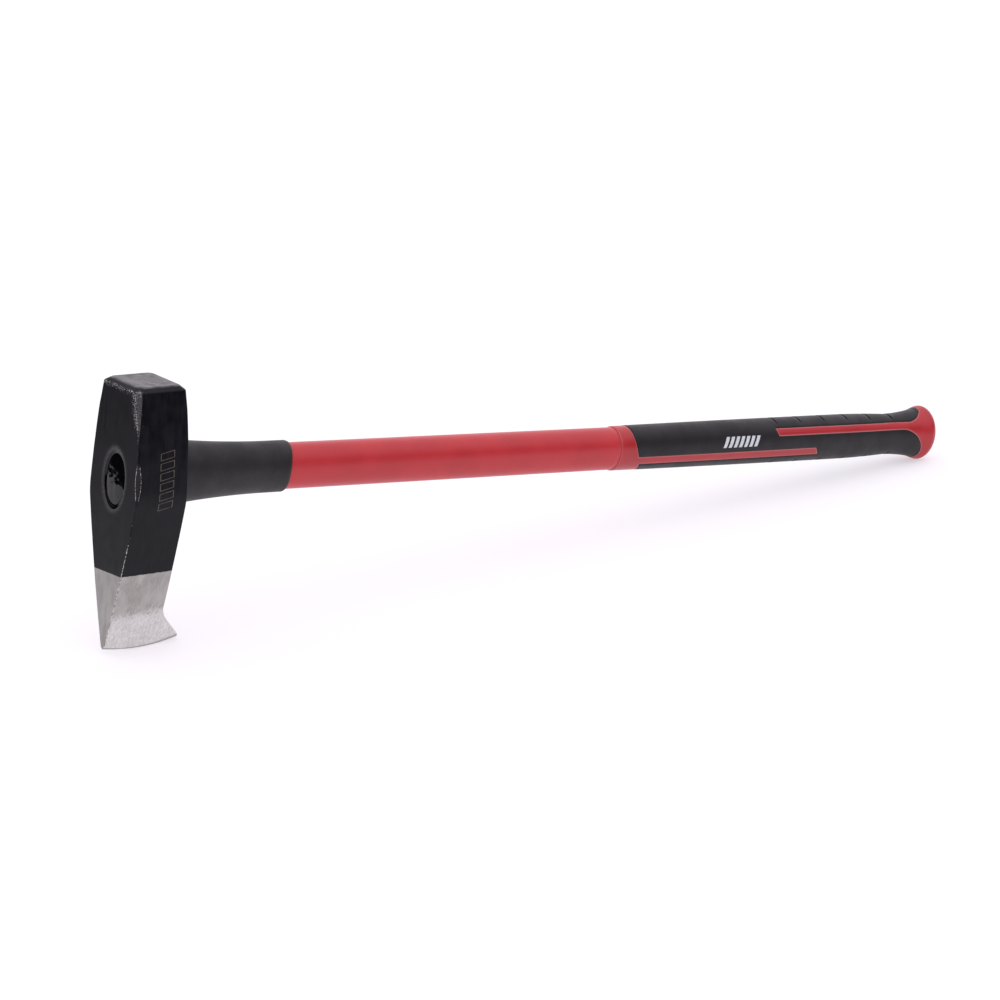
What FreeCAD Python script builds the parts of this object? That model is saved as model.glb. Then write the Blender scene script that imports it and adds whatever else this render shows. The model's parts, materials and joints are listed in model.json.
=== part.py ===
import FreeCAD, Part
import math
import os
import re
import Sketcher

# Splitting maul with a forged head and a fibreglass-cored handle.
#
# Maul axes, used by every sketch: the origin is on the handle's axis in the plane of the
# head's front face, X runs along the handle to the butt, Z up from the cutting edge to the
# poll, Y across the cheeks. Every body's Placement then lowers the butt, so that the maul rests
# on its cutting edge and on its knob, with the origin below the middle of its box.

SIZES = {
    # block that the head is cut from
    "stock_half_width": (40, "half its width across the cheeks"),
    "stock_reach": (170, "how far it goes above and below the axis"),
    # head, seen from the side
    "head_depth": (43, "front face to rear face"),
    "poll_depth": (41.6, "front face to rear face at the poll"),
    "poll_height": (66, "middle of the poll face above the handle's axis"),
    "poll_slant": (2, "how much higher the poll face is at its rear than at its front"),
    "taper_height": (28, "where the rear face starts to lean in towards the poll"),
    "toe_drop": (126.3, "front corner of the cutting edge below the axis"),
    "heel_drop": (121.8, "rear corner of the cutting edge below the axis"),
    "heel_reach": (64.3, "rear corner of the cutting edge behind the front face"),
    "heel_lip": (1.2, "height of the blunt end of the beard"),
    "edge_radius": (172, "arc of the cutting edge"),
    "waist_drop": (97.5, "lower end of the straight rear face, below the axis"),
    "waist_reach": (44.1, "the same point behind the front face"),
    "waist_radius": (16, "turn from rear face to beard"),
    "beard_drop": (106.2, "start of the beard's flare, below the axis"),
    "beard_reach": (48.8, "the same point behind the front face"),
    "beard_radius": (400, "hollow of the beard's flare"),
    # head, seen from the front
    "poll_half_width": (21.1, "half the thickness just above the poll"),
    "cheek_half_width": (29, "half the thickness over the eye"),
    "cheek_drop": (8, "widest level, below the axis"),
    "blade_top_half_width": (27.8, "half the thickness where the wedge starts"),
    "blade_top_drop": (22, "where the wedge starts, below the axis"),
    "edge_half_width": (0.7, "half the thickness of the blunt cutting edge"),
    "wedge_depth": (129, "depth at which the wedge is that thin"),
    "upper_cheek_radius": (700, "crown of the cheek above the eye"),
    "cheek_radius": (54, "crown of the cheek over the eye"),
    "blade_crown_radius": (1250, "crown of the wedge"),
    "poll_chamfer": (3.2, "bevel round the poll face"),
    # eye
    "eye_front_half_height": (20.9, "eye at the front face"),
    "eye_front_half_width": (12.4, "eye at the front face"),
    "eye_front_drop": (3.8, "centre of the eye at the front face, below the axis"),
    "eye_rear_half_height": (17.5, "eye at the rear face"),
    "eye_rear_half_width": (12.6, "eye at the rear face"),
    "eye_rim": (1.6, "countersink round the front of the eye"),
    "resin_recess": (1.8, "face of the resin behind the front face"),
    "dam_thickness": (6, "seal at the rear of the eye"),
    # handle; its sections are ovals, and these are their halves in the swing plane
    "oval_ratio": (0.8, "thickness across the handle over its depth"),
    "core_radius": (13.2, "fibreglass core"),
    "core_start": (13, "front end of the core"),
    "core_end": (848, "rear end of the core"),
    "jacket_radius": (17.4, "red sleeve"),
    "spigot_radius": (15.4, "stepped end of the sleeve, inside the collar"),
    "spigot_length": (16, "length of that stepped end"),
    "guard_end": (150.5, "rear end of the rubber guard"),
    "guard_end_radius": (19.2, "guard at its rear end"),
    "guard_head_radius": (24.2, "guard where it meets the head"),
    "guard_flare_end": (133, "where the flare runs out"),
    "guard_flare_radius": (820, "arc of the flare"),
    "guard_round": (1.7, "rounding of the guard's rear edge"),
    # grip
    "grip_start": (486, "front end of the collar"),
    "bore_overrun": (1, "how far the grip's bore is cut past the collar"),
    "collar_radius": (18.2, "collar"),
    "collar_round": (0.5, "rounding of the collar's front edge"),
    "palm_station": (764, "fullest part of the grip"),
    "palm_radius": (19.4, "grip there"),
    "palm_crown": (40000, "arc from collar to palm"),
    "palm_rear_arc": (1400, "arc from palm to neck"),
    "neck_station": (822, "thinnest part behind the palm"),
    "neck_radius": (17.9, "grip there"),
    "flare_station": (860, "half way up the knob"),
    "flare_radius": (21, "grip there"),
    "flare_arc": (250, "arc from neck to flare"),
    "knob_station": (870.1, "fullest part of the knob"),
    "knob_radius": (24.1, "knob there"),
    "knob_arc": (96, "arc from flare to the fullest part"),
    "knob_round": (8, "rounding of the knob's rim"),
    "knob_turn_station": (877, "where the rim's rounding meets the end face"),
    "knob_turn_height": (20.1, "the same point above the axis"),
    "knob_dome": (40, "crown of the end face"),
    "knob_tip": (882.4, "rear end of the knob"),
    "panel_depth": (1.8, "thickness of the soft panels"),
    "panel_overhang": (5, "how far their outline runs past the grip"),
    "panel_top_start": (500.5, "front end of the panels, level with the collar's top"),
    "panel_inner_start": (506.8, "the same at the lower stripe's upper edge"),
    "panel_outer_start": (510.4, "the same at the lower stripe's lower edge"),
    "panel_bottom_start": (514.5, "the same level with the collar's bottom"),
    "panel_start_arc": (62, "arc of the panels' front end"),
    "panel_end": (863.4, "rear end of the panels, at the knob"),
    "stripe_inner": (6, "red stripes: nearer edge above or below the axis"),
    "stripe_outer": (12.3, "red stripes: farther edge"),
    "lower_stripe_end": (726.3, "rear end of the lower stripe"),
    "upper_stripe_start": (670, "front end of the upper stripe"),
    "stripe_slant": (3, "lean of the stripes' ends"),
    "upper_lobe_start": (846, "where the upper stripe starts to widen upwards"),
    "upper_lobe_rise": (10, "height of that rounded end of the panels"),
    "upper_lobe_arc": (24, "its arc"),
    "lower_lobe_start": (837, "where the upper stripe starts to widen downwards"),
    "lower_lobe_drop": (24.5, "depth of that rounded end of the panels"),
    "lower_lobe_arc": (29, "its arc"),
    "groove_start": (674.65, "rear wall of the first grip groove"),
    "groove_pitch": (30.2, "from groove to groove"),
    "groove_count": (6, "grooves on top, and as many below"),
    "groove_width": (1.3, "along the handle"),
    "groove_depth": (1.0, "below the panels' surface"),
    "groove_half_span": (8.6, "half the groove's reach across the handle"),
}


def make_sheet(doc):
    """Write the driving dimensions, their aliases and their meanings."""
    sheet = doc.addObject("Spreadsheet::Sheet", "sizes")
    for row, (alias, (value, meaning)) in enumerate(SIZES.items(), start=1):
        sheet.set(f"A{row}", alias)
        sheet.set(f"B{row}", str(value))
        sheet.setAlias(f"B{row}", alias)
        sheet.set(f"C{row}", meaning)
    doc.recompute()
    return sheet


def bound(expression):
    """The same expression with each alias led by the sheet's name."""
    def lead(word):
        return "sizes." + word[0] if word[0] in SIZES else word[0]
    return re.sub(r"[a-z_]+", lead, expression)


def number(expression):
    """What an expression of aliases comes to."""
    return float(sheet.evalExpression(expression))


# ---------------------------------------------------------------- sketches


def new_sketch(body, name, role, offset=None):
    """A sketch on one of the body's origin planes, moved along its normal by offset."""
    sketch = body.newObject("Sketcher::SketchObject", name)
    plane = next(f for f in body.Origin.OriginFeatures if f.Role == role)
    sketch.AttachmentSupport = [(plane, "")]
    sketch.MapMode = "FlatFace"
    if offset:
        sketch.setExpression("AttachmentOffset.Base.z", bound(offset))
    return sketch


def bind(sketch, index, expression):
    sketch.setExpression(f"Constraints[{index}]", bound(expression))


def pin(sketch, element, point, across, up):
    """Hold a point at two expressions, measured from the sketch's origin."""
    for kind, axis, expression in (("DistanceX", -2, across), ("DistanceY", -1, up)):
        if number(expression) == 0:
            sketch.addConstraint(Sketcher.Constraint("PointOnObject", element, point, axis))
        else:
            datum = Sketcher.Constraint(kind, -1, 1, element, point, number(expression))
            bind(sketch, sketch.addConstraint(datum), expression)


def arc_between(start, end, radius, side):
    """The short arc from start to end that bulges to the right (side 1) or left (-1)."""
    chord = end - start
    inward = FreeCAD.Vector(-chord.y, chord.x, 0).normalize() * side
    centre = start + chord / 2 + inward * math.sqrt(radius**2 - chord.Length**2 / 4)
    first, last = (start, end) if side > 0 else (end, start)
    angles = [math.atan2(p.y - centre.y, p.x - centre.x) for p in (first, last)]
    circle = Part.Circle(centre, FreeCAD.Vector(0, 0, 1), radius)
    return Part.ArcOfCircle(circle, *angles)


def draw_outline(sketch, corners, arcs=None):
    """A closed outline. arcs[i] = (radius, side) bends the edge that leaves corner i."""
    arcs = arcs or {}
    places = [FreeCAD.Vector(number(a), number(u), 0) for a, u in corners]
    starts = []
    for i, place in enumerate(places):
        target = places[(i + 1) % len(places)]
        if i in arcs:
            radius, side = arcs[i]
            arc = arc_between(place, target, number(radius), side)
            element = sketch.addGeometry(arc)
            bind(sketch, sketch.addConstraint(
                Sketcher.Constraint("Radius", element, number(radius))), radius)
            starts.append((element, 1, 2) if side > 0 else (element, 2, 1))
        else:
            element = sketch.addGeometry(Part.LineSegment(place, target))
            starts.append((element, 1, 2))
    for i, (element, start, end) in enumerate(starts):
        following, following_start, _ = starts[(i + 1) % len(starts)]
        sketch.addConstraint(
            Sketcher.Constraint("Coincident", element, end, following, following_start))
        pin(sketch, element, start, *corners[i])


def draw_oval(sketch, half_height, half_width, level):
    """An ellipse that is taller than wide, with its centre at level on the vertical axis."""
    centre = FreeCAD.Vector(0, number(level), 0)
    top = centre + FreeCAD.Vector(0, number(half_height), 0)
    side = centre + FreeCAD.Vector(number(half_width), 0, 0)
    oval = sketch.addGeometry(Part.Ellipse(top, side, centre))
    sketch.exposeInternalGeometry(oval)
    height_line, width_line = oval + 1, oval + 2
    pin(sketch, oval, 3, "0", level)
    sketch.addConstraint(Sketcher.Constraint("Vertical", height_line))
    for line, half in ((height_line, half_height), (width_line, half_width)):
        datum = Sketcher.Constraint("Distance", line, 1, line, 2, 2 * number(half))
        bind(sketch, sketch.addConstraint(datum), f"2 * ({half})")


# ---------------------------------------------------------------- features


def new_body(name):
    body = doc.addObject("PartDesign::Body", name)
    body.Placement = rest
    return body


def pad_across(body, sketch):
    """Pad a sketch by the same amount to both sides of its plane."""
    pad = body.newObject("PartDesign::Pad", sketch.Name + "_pad")
    pad.Profile = sketch
    pad.SideType = "Symmetric"
    pad.setExpression("Length", "2 * sizes.stock_half_width")
    return pad


def turned(name, corners, arcs=None):
    """A solid of revolution about the handle's axis, flattened across to the handle's oval."""
    body = new_body(name + "_round")
    sketch = new_sketch(body, name + "_profile", "XZ_Plane")
    draw_outline(sketch, corners, arcs)
    turn = body.newObject("PartDesign::Revolution", name + "_turn")
    turn.Profile = sketch
    turn.ReferenceAxis = (sketch, ["H_Axis"])
    turn.Angle = 360
    doc.recompute()
    oval = doc.addObject("Part::Scale", name)
    oval.Base = body
    oval.Uniform = False
    oval.setExpression("YScale", "sizes.oval_ratio")
    oval.Placement = rest
    return oval


def combine(kind, name, base, tool):
    result = doc.addObject("Part::" + kind, name)
    result.Base = base
    result.Tool = tool
    return result


def eye_section(station):
    """Half height, half width and level of the tapered eye at a station behind its mouth."""
    share = f"({station}) / head_depth"
    sizes = []
    for front, rear in (
        ("eye_front_half_height", "eye_rear_half_height"),
        ("eye_front_half_width", "eye_rear_half_width"),
        ("-eye_front_drop", "0"),
    ):
        sizes.append(f"({front}) + (({rear}) - ({front})) * {share}")
    return sizes


def eye_loft(body, name, kind, sections):
    """A loft along X through ovals, each given as (station, half height, half width, level)."""
    sketches = []
    for i, (station, *oval) in enumerate(sections):
        sketch = new_sketch(body, f"{name}_oval_{i}", "YZ_Plane", station)
        draw_oval(sketch, *oval)
        sketches.append(sketch)
    doc.recompute()
    loft = body.newObject("PartDesign::" + kind, name)
    loft.Profile = sketches[0]
    loft.Sections = sketches[1:]
    loft.Ruled = True
    doc.recompute()
    return loft


def eye_filler(name, front, rear, core):
    """A piece that fills the eye between two stations, with the core cut out of it."""
    body = new_body(name + "_block")
    eye_loft(body, name + "_loft", "AdditiveLoft",
             [(front, *eye_section(front)), (rear, *eye_section(rear))])
    return combine("Cut", name, body, core)


# ---------------------------------------------------------------- sub-parts


def make_head():
    """Forged head: a side outline cut to a front outline, then bevelled, then the eye."""
    body = new_body("head")
    side = new_sketch(body, "side_outline", "XZ_Plane")
    draw_outline(side, [
        ("0", "poll_height - poll_slant / 2"),
        ("0", "-toe_drop"),
        ("heel_reach", "-heel_drop"),
        ("heel_reach", "-heel_drop + heel_lip"),
        ("beard_reach", "-beard_drop"),
        ("waist_reach", "-waist_drop"),
        ("head_depth", "taper_height"),
        ("poll_depth", "poll_height + poll_slant / 2"),
    ], {1: ("edge_radius", 1), 3: ("beard_radius", -1), 4: ("waist_radius", -1)})
    pad_across(body, side)

    front = new_sketch(body, "front_outline", "YZ_Plane")
    half = [
        ("poll_half_width", "poll_height + poll_slant"),
        ("cheek_half_width", "-cheek_drop"),
        ("blade_top_half_width", "-blade_top_drop"),
        ("edge_half_width", "-wedge_depth"),
    ]
    mirrored = [("-" + across, up) for across, up in half]
    crowns = ["upper_cheek_radius", "cheek_radius", "blade_crown_radius"]
    arcs = {}
    for i, crown in enumerate(crowns):
        arcs[i] = (crown, 1)
        arcs[2 * len(half) - 2 - i] = (crown, 1)
    draw_outline(front, mirrored + half[::-1], arcs)
    draw_outline(front, [
        ("-stock_half_width", "-stock_reach"),
        ("stock_half_width", "-stock_reach"),
        ("stock_half_width", "stock_reach"),
        ("-stock_half_width", "stock_reach"),
    ])
    trim = body.newObject("PartDesign::Pocket", "cheeks")
    trim.Profile = front
    trim.SideType = "Symmetric"
    trim.setExpression("Length", "2 * sizes.stock_reach")
    doc.recompute()

    poll = max(trim.Shape.Faces, key=lambda face: face.CenterOfMass.z)
    poll_edges = [
        f"Edge{i}" for i, edge in enumerate(trim.Shape.Edges, start=1)
        if any(edge.isSame(side_edge) for side_edge in poll.Edges)
    ]
    bevel = body.newObject("PartDesign::Chamfer", "poll_bevel")
    bevel.Base = (trim, poll_edges)
    bevel.setExpression("Size", "sizes.poll_chamfer")
    doc.recompute()

    eye = eye_loft(body, "eye", "SubtractiveLoft",
                   [(station, *eye_section(station)) for station in ("0", "head_depth")])
    mouth = ("0", "eye_front_half_height + eye_rim", "eye_front_half_width + eye_rim",
             "-eye_front_drop")
    rim = eye_loft(body, "eye_countersink", "SubtractiveLoft",
                   [mouth, ("eye_rim", *eye_section("eye_rim"))])
    stages = [trim, bevel, eye, rim]
    for before, after in zip(stages, stages[1:]):
        if after.Shape.Volume >= before.Shape.Volume:
            raise RuntimeError(after.Name + " cuts nothing")
    return body


def oval_length(body, name, kind, half_height, start, end):
    """An oval of the handle's shape, padded or pocketed along the handle from start to end."""
    sketch = new_sketch(body, name + "_oval", "YZ_Plane", start)
    draw_oval(sketch, half_height, f"{half_height} * oval_ratio", "0")
    feature = body.newObject("PartDesign::" + kind, name)
    feature.Profile = sketch
    feature.setExpression("Length", bound(f"{end} - ({start})"))
    feature.Reversed = kind == "Pocket"
    doc.recompute()
    return feature


def make_core():
    """Solid fibreglass rod that runs from the eye into the knob."""
    body = new_body("core_rod")
    oval_length(body, "rod", "Pad", "core_radius", "core_start", "core_end")
    return body


def make_jacket():
    """Red sleeve over the core, stepped down where the grip's collar laps it."""
    body = new_body("jacket")
    spigot_end = "grip_start + spigot_length"
    oval_length(body, "sleeve", "Pad", "jacket_radius", "head_depth", "grip_start")
    solid = oval_length(body, "spigot", "Pad", "spigot_radius", "grip_start", spigot_end)
    bored = oval_length(body, "bore", "Pocket", "core_radius", "head_depth", spigot_end)
    if bored.Shape.Volume >= solid.Shape.Volume:
        raise RuntimeError("the jacket's bore cuts nothing")
    return body


def make_guard():
    """Rubber overstrike guard, flared against the head."""
    return turned("overstrike_guard", [
        ("head_depth", "jacket_radius"),
        ("head_depth", "guard_head_radius"),
        ("guard_flare_end", "guard_end_radius"),
        ("guard_end - guard_round", "guard_end_radius"),
        ("guard_end", "guard_end_radius - guard_round"),
        ("guard_end", "jacket_radius"),
    ], {1: ("guard_flare_radius", 1), 3: ("guard_round", -1)})


def make_grip_envelope():
    """The whole grip's outside, collar to knob, as a solid."""
    return turned("grip_envelope", [
        ("grip_start", "0"),
        ("grip_start", "collar_radius - collar_round"),
        ("grip_start + collar_round", "collar_radius"),
        ("palm_station", "palm_radius"),
        ("neck_station", "neck_radius"),
        ("flare_station", "flare_radius"),
        ("knob_station", "knob_radius"),
        ("knob_turn_station", "knob_turn_height"),
        ("knob_tip", "0"),
    ], {
        1: ("collar_round", -1),
        2: ("palm_crown", -1),
        3: ("palm_rear_arc", -1),
        4: ("flare_arc", 1),
        5: ("knob_arc", -1),
        6: ("knob_round", -1),
        7: ("knob_dome", -1),
    })


def grip_inset(name, depth):
    """The grip's outside moved in by depth, longer than the panels."""
    return turned(name, [
        ("grip_start", "0"),
        ("grip_start", f"collar_radius - {depth}"),
        ("palm_station", f"palm_radius - {depth}"),
        ("neck_station", f"neck_radius - {depth}"),
        ("flare_station", f"flare_radius - {depth}"),
        ("knob_station", f"knob_radius - {depth}"),
        ("knob_station", "0"),
    ], {
        1: ("palm_crown", -1),
        2: ("palm_rear_arc", -1),
        3: ("flare_arc", 1),
        4: ("knob_arc", -1),
    })


def make_panel_area():
    """Side outline of the soft panels: both stripes are notches in it."""
    body = new_body("panel_area")
    sketch = new_sketch(body, "panel_outline", "XZ_Plane")
    above = "collar_radius + panel_overhang"
    below = f"-({above})"
    draw_outline(sketch, [
        ("panel_top_start", above),
        ("panel_top_start", "collar_radius"),
        ("panel_inner_start", "-stripe_inner"),
        ("lower_stripe_end - stripe_slant", "-stripe_inner"),
        ("lower_stripe_end", "-stripe_outer"),
        ("panel_outer_start", "-stripe_outer"),
        ("panel_bottom_start", "-collar_radius"),
        ("panel_bottom_start", below),
        ("panel_end", below),
        ("panel_end", "stripe_inner - lower_lobe_drop"),
        ("lower_lobe_start", "stripe_inner"),
        ("upper_stripe_start + stripe_slant", "stripe_inner"),
        ("upper_stripe_start", "stripe_outer"),
        ("upper_lobe_start", "stripe_outer"),
        ("panel_end", "stripe_outer + upper_lobe_rise"),
        ("panel_end", above),
    ], {
        1: ("panel_start_arc", 1),
        5: ("panel_start_arc", 1),
        9: ("lower_lobe_arc", 1),
        13: ("upper_lobe_arc", 1),
    })
    pad_across(body, sketch)
    return body


def make_groove_tool():
    """Bars that stand through the grip, one for each pair of grooves."""
    body = new_body("groove_bars")
    sketch = new_sketch(body, "groove_bar", "XY_Plane")
    draw_outline(sketch, [
        ("groove_start", "groove_half_span"),
        ("groove_start - groove_width", "groove_half_span"),
        ("groove_start - groove_width", "-groove_half_span"),
        ("groove_start", "-groove_half_span"),
    ])
    bar = pad_across(body, sketch)
    doc.recompute()
    row = body.newObject("PartDesign::LinearPattern", "groove_row")
    row.Originals = [bar]
    row.Direction = (sketch, ["H_Axis"])
    row.setExpression("Length", "sizes.groove_pitch * (sizes.groove_count - 1)")
    row.setExpression("Occurrences", "sizes.groove_count")
    body.Tip = row
    doc.recompute()
    return body


def make_panels(envelope):
    """One layer between the grip's outside and the panels' floor, inside their outline."""
    floor = grip_inset("panel_floor", "panel_depth")
    layer = combine("Cut", "panel_layer", envelope, floor)
    return combine("Common", "panels", layer, make_panel_area())


def make_overmould(panels):
    """Soft black panels in one piece, with the grooves cut into them."""
    groove_floor = grip_inset("groove_floor", "groove_depth")
    grooves = combine("Cut", "grooves", make_groove_tool(), groove_floor)
    doc.recompute()
    return combine("Cut", "grip_overmould", panels, grooves)


def make_grip_sleeve(envelope, panels):
    """Hard red part of the grip: collar, stripes and knob, bored for core and spigot."""
    bore = turned("grip_bore", [
        ("grip_start - bore_overrun", "0"),
        ("grip_start - bore_overrun", "spigot_radius"),
        ("grip_start + spigot_length", "spigot_radius"),
        ("grip_start + spigot_length", "core_radius"),
        ("core_end", "core_radius"),
        ("core_end", "0"),
    ])
    solid = combine("Cut", "grip_body", envelope, panels)
    return combine("Cut", "grip_sleeve", solid, bore)


def resting_placement():
    """Lower the butt until cutting edge and knob touch one plane, then centre the box on it."""
    toe = FreeCAD.Vector(0, 0, -number("toe_drop"))
    heel = FreeCAD.Vector(number("heel_reach"), 0, -number("heel_drop"))
    edge_radius = number("edge_radius")
    chord = heel - toe
    rise = math.sqrt(edge_radius**2 - chord.Length**2 / 4)
    up = FreeCAD.Vector(-chord.z, 0, chord.x).normalize()
    edge_centre = toe + chord / 2 + up * rise
    knob_round = number("knob_round")
    rim_centre = FreeCAD.Vector(number("knob_station"), 0, knob_round - number("knob_radius"))
    gap = rim_centre - edge_centre
    lean = math.atan2(-gap.z, gap.x)
    tilt = math.asin((edge_radius - knob_round) / gap.Length) - lean
    turn = FreeCAD.Rotation(FreeCAD.Vector(0, 1, 0), math.degrees(tilt))
    dome = number("knob_dome")
    dome_centre = FreeCAD.Vector(number("knob_tip") - dome, 0, 0)
    front = turn.multVec(toe).x
    rear = turn.multVec(dome_centre).x + dome
    low = turn.multVec(rim_centre).z - knob_round
    return FreeCAD.Placement(FreeCAD.Vector(-(front + rear) / 2, 0, -low), turn)


doc = FreeCAD.newDocument("splitting_maul")
sheet = make_sheet(doc)
rest = resting_placement()
head = make_head()
core = make_core()
dam_front = "head_depth - dam_thickness"
resin = eye_filler("eye_resin", "resin_recess", dam_front, core)
dam = eye_filler("eye_dam", dam_front, "head_depth", core)
jacket = make_jacket()
guard = make_guard()
envelope = make_grip_envelope()
panels = make_panels(envelope)
overmould = make_overmould(panels)
sleeve = make_grip_sleeve(envelope, panels)
doc.recompute()

for item in doc.Objects:
    if {"Invalid", "Error"} & set(item.State):
        raise RuntimeError(f"{item.Name} failed: {item.State}")
subparts = [head, core, resin, dam, jacket, guard, sleeve, overmould]
for item in subparts:
    if item.Shape.isNull() or not item.Shape.isValid():
        raise RuntimeError(f"{item.Label} has no valid shape")
os.makedirs("parts", exist_ok=True)
for item in subparts:
    item.Shape.exportStep(f"parts/{item.Label}.step")
    print(item.Label, round(item.Shape.Volume), len(item.Shape.Solids), item.Shape.BoundBox)
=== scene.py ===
import json
import math

import bmesh
import bpy
import numpy as np
from mathutils import Matrix, Vector, geometry, kdtree, noise


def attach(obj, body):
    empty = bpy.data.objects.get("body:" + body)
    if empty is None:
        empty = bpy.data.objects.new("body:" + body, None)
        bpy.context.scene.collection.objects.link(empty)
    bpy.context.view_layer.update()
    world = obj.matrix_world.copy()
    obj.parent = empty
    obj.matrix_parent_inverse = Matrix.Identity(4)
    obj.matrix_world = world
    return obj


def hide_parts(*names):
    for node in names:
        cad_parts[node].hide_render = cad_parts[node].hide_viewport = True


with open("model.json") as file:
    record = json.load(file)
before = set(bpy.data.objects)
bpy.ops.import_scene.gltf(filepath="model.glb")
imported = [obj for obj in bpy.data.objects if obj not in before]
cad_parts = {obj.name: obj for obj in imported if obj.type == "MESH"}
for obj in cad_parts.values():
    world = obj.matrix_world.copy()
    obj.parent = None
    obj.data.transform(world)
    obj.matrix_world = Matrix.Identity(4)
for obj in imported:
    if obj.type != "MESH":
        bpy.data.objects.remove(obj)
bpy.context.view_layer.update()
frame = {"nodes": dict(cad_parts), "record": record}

# Splitting maul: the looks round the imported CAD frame.
#
# Pieces are modelled in the maul's own axes, in millimetres: the origin is on the handle's axis
# in the plane of the head's front face, X runs along the handle to the butt, Y across the
# cheeks and Z up from the cutting edge to the poll. MAUL carries those axes to the place where
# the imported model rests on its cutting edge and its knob.

MM = 0.001
MERGE_DISTANCE = 2e-6

# ------------------------------------------------------------------ the maul's axes

FRONT_MOUNT_HEIGHT = 45.0


def maul_axes():
    """Matrix from the maul's axes, in metres, to the row frame, from the front face's mount."""
    mount = next(m for m in frame["record"]["mounts"] if m["name"] == "front_face")
    back = -Vector(mount["axis"]).normalized()
    across = Vector((0, 1, 0))
    up = back.cross(across)
    origin = Vector(mount["pos_m"]) - up * FRONT_MOUNT_HEIGHT * MM
    turn = Matrix((back, across, up)).transposed().to_4x4()
    return Matrix.Translation(origin) @ turn


MAUL = maul_axes()

# ------------------------------------------------------------------ meshes


def smooth(value, low, high):
    """0 below low, 1 above high, and an even S between them."""
    share = np.clip((value - low) / (high - low), 0.0, 1.0)
    return share * share * (3.0 - 2.0 * share)


def bulge(share, chord, radius):
    """How far an arc of that radius stands off its chord, at a share of the way along it."""
    along = (share - 0.5) * chord
    return np.sqrt(radius**2 - along**2) - math.sqrt(radius**2 - chord**2 / 4)


def rounded(points, radius, steps):
    """An open 2-D line with every inner corner turned into an arc."""
    line = [np.array(points[0], float)]
    for before, corner, after in zip(points, points[1:], points[2:]):
        corner = np.array(corner, float)
        one = np.array(before, float) - corner
        two = np.array(after, float) - corner
        one /= np.linalg.norm(one)
        two /= np.linalg.norm(two)
        half = math.acos(np.clip(one @ two, -1, 1)) / 2
        reach = radius / math.tan(half)
        middle = (one + two) / np.linalg.norm(one + two)
        centre = corner + middle * radius / math.sin(half)
        first = corner + one * reach - centre
        last = corner + two * reach - centre
        sweep = math.pi - 2 * half
        for step in range(steps + 1):
            a = sweep * step / steps
            arm = (first * math.sin(sweep - a) + last * math.sin(a)) / math.sin(sweep)
            line.append(centre + arm)
    line.append(np.array(points[-1], float))
    return np.array(line)


def make_piece(name, vertices, faces, material, slot, sharp_angle=40.0, **layers):
    """A mesh from points in the maul's axes and millimetres, riding on the maul."""
    mesh = bpy.data.meshes.new(name)
    mesh.from_pydata((np.asarray(vertices) * MM).tolist(), [], faces)
    mesh.validate()
    for layer, values in layers.items():
        mesh.attributes.new(layer, "FLOAT", "POINT").data.foreach_set(
            "value", np.asarray(values, np.float32))
    close_up(mesh)
    mesh.shade_smooth()
    mesh.set_sharp_from_angle(angle=math.radians(sharp_angle))
    mesh.materials.append(material)
    piece = bpy.data.objects.new(name, mesh)
    bpy.context.scene.collection.objects.link(piece)
    piece.matrix_world = MAUL
    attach(piece, "root")
    return piece


def close_up(mesh):
    """Merge points that fall together, drop unused ones and turn every face outwards."""
    work = bmesh.new()
    work.from_mesh(mesh)
    bmesh.ops.remove_doubles(work, verts=work.verts, dist=MERGE_DISTANCE)
    unused = [v for v in work.verts if not v.link_faces]
    bmesh.ops.delete(work, geom=unused, context="VERTS")
    bmesh.ops.recalc_face_normals(work, faces=work.faces)
    work.to_mesh(mesh)
    work.free()


def bands(rings, closed=True):
    """Quads between rings of vertex numbers, each ring the same length."""
    faces = []
    for one, two in zip(rings, rings[1:]):
        count = len(one)
        for i in range(count if closed else count - 1):
            k = (i + 1) % count
            faces.append((one[i], one[k], two[k], two[i]))
    return faces


class Points:
    """Vertices collected patch by patch."""

    def __init__(self):
        self.places = []

    def add(self, places):
        start = len(self.places)
        self.places.extend(np.asarray(places, float))
        return list(range(start, len(self.places)))


# ------------------------------------------------------------------ head

# side outline
HEAD_DEPTH = 43.0
POLL_HEIGHT = 66.0
POLL_DEPTH = 41.6
POLL_LIFT = 0.9
POLL_SLANT = 2.0 / 40.7
POLL_TWIST = 3.4 / 40.0
TAPER_HEIGHT = 28.0
TOE = (0.0, -126.3)
HEEL = (64.3, -121.8)
HEEL_LIP = 1.2
EDGE_RADIUS = 172.0
WAIST = (44.1, -97.5)
WAIST_RADIUS = 16.0
BEARD = (48.8, -106.2)
BEARD_RADIUS = 400.0
# front outline, as (half thickness, height, radius of the crown down to the next)
CHEEK_LINE = [(21.1, 68.0, 700.0), (29.0, -8.0, 54.0), (27.8, -22.0, 1250.0), (0.7, -129.0, None)]
POLL_BEVEL = 3.2
BEVEL_ROUND = 1.6
# cutting edge
HONE_HALF = 0.35
HONE_SLOPE = 1.0
# eye: (half width, half height, height of its centre), where its rim starts and where it ends
EYE_FRONT_FACE = (14.6, 23.0, -2.7)
EYE_FRONT = (12.4, 20.9, -3.8)
EYE_FRONT_RIM = 0.9
EYE_REAR = (12.6, 17.5, 0.0)
EYE_REAR_FACE = (15.0, 19.9, 0.0)
EYE_REAR_RIM = 2.0
# mesh
MORPH_START = -56.0
FACE_CELLS = 20
CHEEK_CELLS = 44
CORNER_CELLS = 6
EYE_CELLS = 12
EYE_CLEARANCE = 8.0


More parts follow.
